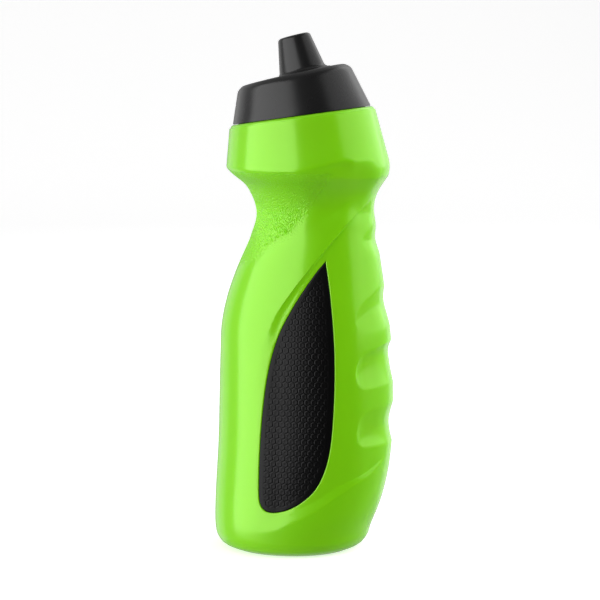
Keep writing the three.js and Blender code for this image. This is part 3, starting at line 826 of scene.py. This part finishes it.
def cap_rings():
    """Every ring of the cap, from its lower edge up over the nozzle and down through the inside."""
    origin = (0.0, 0.0, 0.0)
    top_x, top_z, top_lean = CAP_TOP
    nozzle_x, nozzle_z, nozzle_lean = NOZZLE
    wall_top, wall_height = CAP_LIP[0]
    rings = [ring(origin, CAP_RADIUS - 0.5, CAP_BOTTOM), ring(origin, CAP_RADIUS - 0.12, CAP_BOTTOM + 0.12)]
    for share in (0.03, 0.25, 0.5, 0.75, 0.95):
        place = (top_x * share, CAP_BOTTOM + (top_z - CAP_BOTTOM) * share, top_lean * share)
        rings.append(ring(place, CAP_RADIUS + (wall_top - CAP_RADIUS) * share, wall_height * share))
    rings += [ring(CAP_TOP, r, h) for r, h in spline(CAP_LIP, 0.4)]
    root_edge = NOZZLE_ROOT_RADIUS + NOZZLE_ROOT_FILLET
    steps = ((top_x, 0.5, nozzle_x - math.sin(math.radians(nozzle_lean)) * NOZZLE_ROOT),
             (top_z, top_z + 0.35, nozzle_z + NOZZLE_ROOT), (top_lean, top_lean, nozzle_lean),
             (CAP_LIP[-1][0], 17.5, root_edge))
    dish = [curve_through(list(zip((0.0, 0.5, 1.0), row))) for row in steps]
    for share in np.linspace(0.08, 0.94, 10):
        x, z, lean, radius = (float(curve(share)) for curve in dish)
        rings.append(ring((x, z, lean), radius))
    flare = arc((root_edge, NOZZLE_ROOT + NOZZLE_ROOT_FILLET), NOZZLE_ROOT_FILLET, 270, 192, 12)
    tip_centre = (NOZZLE_TIP_RADIUS - NOZZLE_TIP_FILLET, NOZZLE_TOP - NOZZLE_TIP_FILLET)
    tip = arc(tip_centre, NOZZLE_TIP_FILLET, 10, 90, 8)
    rings += [ring(NOZZLE, r, h) for r, h in flare + tip]
    rings += [ring(NOZZLE, r, h) for r, h in (
        (NOZZLE_MOUTH + 0.6, NOZZLE_TOP), (NOZZLE_MOUTH + 0.15, NOZZLE_TOP - 0.15),
        (NOZZLE_MOUTH, NOZZLE_TOP - 0.6), (NOZZLE_MOUTH, NOZZLE_SEAT), (NOZZLE_BORE, NOZZLE_SEAT),
        (NOZZLE_BORE, RECESS_TOP + 0.3), (NOZZLE_BORE + 0.3, RECESS_TOP), (RECESS_RADIUS, RECESS_TOP),
        (RECESS_RADIUS, -2.5),
    )]
    skirt_meet = (CAP_RADIUS - CAP_WALL - SKIRT_OUTER) * top_z / (CAP_RADIUS - CAP_TOP_RADIUS)
    rings += [ring(origin, r, h) for r, h in (
        (RECESS_RADIUS + 0.6, DECK), (PLUG_INNER, DECK), (PLUG_INNER, PLUG_BOTTOM + 0.4),
        (PLUG_INNER + 0.4, PLUG_BOTTOM), (PLUG_OUTER - 0.4, PLUG_BOTTOM), (PLUG_OUTER, PLUG_BOTTOM + 0.6),
        (PLUG_OUTER, DECK), (CAP_BORE, DECK), (CAP_BORE, CAP_BOTTOM + 1.3), (CAP_BORE + 0.3, CAP_BOTTOM + 1),
        (SKIRT_OUTER - 0.3, CAP_BOTTOM + 1), (SKIRT_OUTER, CAP_BOTTOM + 1.3), (SKIRT_OUTER, skirt_meet),
        (CAP_RADIUS - CAP_WALL, CAP_BOTTOM + 0.2), (CAP_RADIUS - CAP_WALL + 0.2, CAP_BOTTOM),
    )]
    return rings


def screw_cap(material):
    shell = loft(cap_rings(), closed=True)
    ridge = thread_ridge(CAP_BORE + 0.5, CAP_CREST, THREAD_FOOT - THREAD_LEAD / 2, 0.4, 1.5)
    shapes = [(on_neck(verts), faces) for verts, faces in (shell, ridge)]
    return make_piece("cap_and_nozzle", shapes, material, "cap", "screw_cap", sharp=38)


def rounded_box(r0, r1, z0, z1, fillet):
    """A rectangular ring profile with rounded corners."""
    corners = (((r1 - fillet, z0 + fillet), -90), ((r1 - fillet, z1 - fillet), 0),
               ((r0 + fillet, z1 - fillet), 90), ((r0 + fillet, z0 + fillet), 180))
    return [p for centre, start in corners for p in arc(centre, fillet, start, start + 90, 5)]


def cap_gasket(material):
    profile = rounded_box(22.9, 25.7, FINISH_HEIGHT + 0.3, DECK - 0.3, 0.45)
    verts, faces = turned(profile)
    shapes = [(on_neck(verts), faces)]
    return make_piece("lip_gasket", shapes, material, "seal", "cap_gasket")


def valve_retainer(material):
    profile = [
        (4.8, -2.3), (5.1, -2.6), (8.7, -2.6), (9, -2.3), (9, -1.5), (8.7, -1.2), (6.5, -1.2), (6.3, -1.0),
        (6.3, 13.7), (6.1, 14), (5.0, 14), (4.8, 13.8),
    ]
    verts, faces = turned(profile, NOZZLE, 96)
    shapes = [(on_neck(verts), faces)]
    return make_piece("valve_tube", shapes, material, "cap", "valve_retainer")


SLIT_REACH, SLIT_SHIFT = 3.4, 0.18  # how far out the slits run, and each petal's shift away from them


def spout_valve(material):
    """A flanged dome cut into four petals by crossed slits."""
    top = NOZZLE_SEAT - 0.3
    profile = [
        (0.05, top + 0.75), (1.5, top + 0.8), (3.0, top + 0.92), (3.9, top + 0.9), (4.2, top + 0.6),
        (4.2, top + 0.02), (6.0, top), (6.2, top - 0.2), (6.2, 14.6), (6.0, 14.35), (4.4, 14.35), (3.6, 14.6),
        (0.05, 14.7),
    ]
    rows, columns = len(profile), 13
    faces = []
    for row in range(rows):
        here, there = row * columns, (row + 1) % rows * columns
        faces += [(here + i, here + i + 1, there + i + 1, there + i) for i in range(columns - 1)]
    slit_wall = (rows - 2, rows - 1, 0, 1, 2, 3)  # the rows round one side of a petal
    faces += [[r * columns + i for r in slit_wall] for i in (0, columns - 1)]
    petals = []
    for quarter in range(4):
        start = quarter * np.pi / 2
        angles = np.linspace(0, np.pi / 2, columns) + start
        away = np.array([math.cos(start + np.pi / 4), math.sin(start + np.pi / 4)])
        grid = []
        for radius, height in profile:
            across = radius * np.stack([np.cos(angles), np.sin(angles)], -1)
            if radius < SLIT_REACH:
                across += away * SLIT_SHIFT
            grid.append(np.column_stack([across, np.full(columns, height)]))
        verts = np.vstack(grid)
        petals.append((on_neck(out_of(NOZZLE, verts)), faces))
    return make_piece("slit_valve", petals, material, "cap", "spout_valve")


# ---- Stage -----------------------------------------------------------------------------------

def floor_and_backdrop():
    """A pale round sweep: a floor that curves up into a wall on every side. It takes the bottle's shadow."""
    material, _, shader = new_material("paper_white", (0.85, 0.85, 0.85), 0.9)
    shader.inputs["Specular IOR Level"].default_value = 0.1
    shader.inputs["Emission Color"].default_value = (1, 1, 1, 1)
    shader.inputs["Emission Strength"].default_value = 0.6
    profile = [(2.6, 3.0), *arc((2.0, 0.6), 0.6, 0, -90, 10), (1.4, 0.0), (0.7, 0.0)]
    verts, faces = loft([ring((0, 0, 0), radius, height, 96) for radius, height in profile], last_fan=True)
    mesh = bpy.data.meshes.new("sweep")
    mesh.from_pydata(verts.tolist(), [], faces)
    mesh.materials.append(material)
    for polygon in mesh.polygons:
        polygon.use_smooth = True
    sweep = bpy.data.objects.new("sweep", mesh)
    bpy.context.scene.collection.objects.link(sweep)
    sweep.visible_diffuse = False
    sweep.visible_glossy = False
    sweep.visible_shadow = False


def camera():
    azimuth, distance, height = math.radians(CAMERA_AZIMUTH), 1.067, 0.237
    aim = Vector((-0.0018, 0, 0.118))
    data = bpy.data.cameras.new("camera")
    data.sensor_width = 36.0
    data.lens = 135.4
    made = bpy.data.objects.new("camera", data)
    made.location = (distance * math.sin(azimuth) - 0.0053, -distance * math.cos(azimuth), height)
    made.rotation_euler = (aim - made.location).to_track_quat("-Z", "Y").to_euler()
    bpy.context.scene.collection.objects.link(made)
    bpy.context.scene.camera = made


def studio_panel(name, bearing, distance, height, size, radiance, glossy=True, diffuse=True):
    """A soft panel that faces the bottle. bearing is in degrees round from the camera, left negative."""
    round_z = math.radians(CAMERA_AZIMUTH - 90 + bearing)
    place = (distance * math.cos(round_z), distance * math.sin(round_z), height)
    light = bpy.data.lights.new(name, "AREA")
    light.shape = "RECTANGLE"
    light.size, light.size_y = size
    light.energy = radiance * math.pi * size[0] * size[1]
    panel = bpy.data.objects.new(name, light)
    panel.location = place
    panel.rotation_euler = (Vector(PANEL_AIM) - Vector(place)).to_track_quat("-Z", "Y").to_euler()
    panel.visible_camera = False
    panel.visible_glossy = glossy
    panel.visible_diffuse = diffuse
    bpy.context.scene.collection.objects.link(panel)


def lights():
    """A world that is darker towards the camera's right, and soft panels round the bottle."""
    world = bpy.data.worlds.new("studio")
    world.use_nodes = True
    tree = world.node_tree
    background = tree.nodes["Background"]
    background.inputs["Strength"].default_value = 1.0
    place = node(tree, "ShaderNodeTexCoord")
    facing = node(tree, "ShaderNodeVectorMath", operation="DOT_PRODUCT")
    bearing = math.radians(CAMERA_AZIMUTH - 90 + 40)
    facing.inputs[1].default_value = (math.cos(bearing), math.sin(bearing), 0.15)
    ramp = node(tree, "ShaderNodeMapRange")
    ramp.inputs["From Min"].default_value = -0.2
    ramp.inputs["From Max"].default_value = 0.9
    ramp.inputs["To Min"].default_value = 0.5
    ramp.inputs["To Max"].default_value = 0.08
    tree.links.new(place.outputs["Generated"], facing.inputs[0])
    tree.links.new(facing.outputs["Value"], ramp.inputs["Value"])
    tree.links.new(ramp.outputs["Result"], background.inputs["Color"])
    bpy.context.scene.world = world
    bpy.context.scene.view_settings.view_transform = "Standard"
    # Each panel's bearing, distance, height, size and radiance
    studio_panel("left_softbox", -57, 1.1, 0.37, (1.8, 1.66), 2.7, diffuse=False)
    studio_panel("left_fill", -62, 1.1, 0.12, (2.0, 1.5), 1.3, glossy=False)
    studio_panel("back_left_strip", -136, 1.1, 0.0, (0.7, 1.1), 0.5, diffuse=False)
    studio_panel("front_fill", 8, 1.1, 1.1, (1.4, 1.0), 0.95, glossy=False)
    studio_panel("right_panel", 102, 1.1, 0.72, (2.3, 1.3), 1.05, diffuse=False)
    studio_panel("right_fill", 104, 1.3, 0.4, (2.1, 1.5), 2.85, glossy=False)
    studio_panel("back_right_strip", 152, 1.1, 0.3, (0.6, 1.4), 0.4)


# ---- Everything ------------------------------------------------------------------------------

green = green_material()
rubber = rubber_material()
grey = grey_material()
silicone = silicone_material()

camera()
lights()
floor_and_backdrop()
bottle_body(green)
grip_pad("honeycomb_pad_right", "grip_pad_right", -1, rubber)
grip_pad("honeycomb_pad_left", "grip_pad_left", 1, rubber)
screw_cap(grey)
cap_gasket(silicone)
valve_retainer(grey)
spout_valve(silicone)
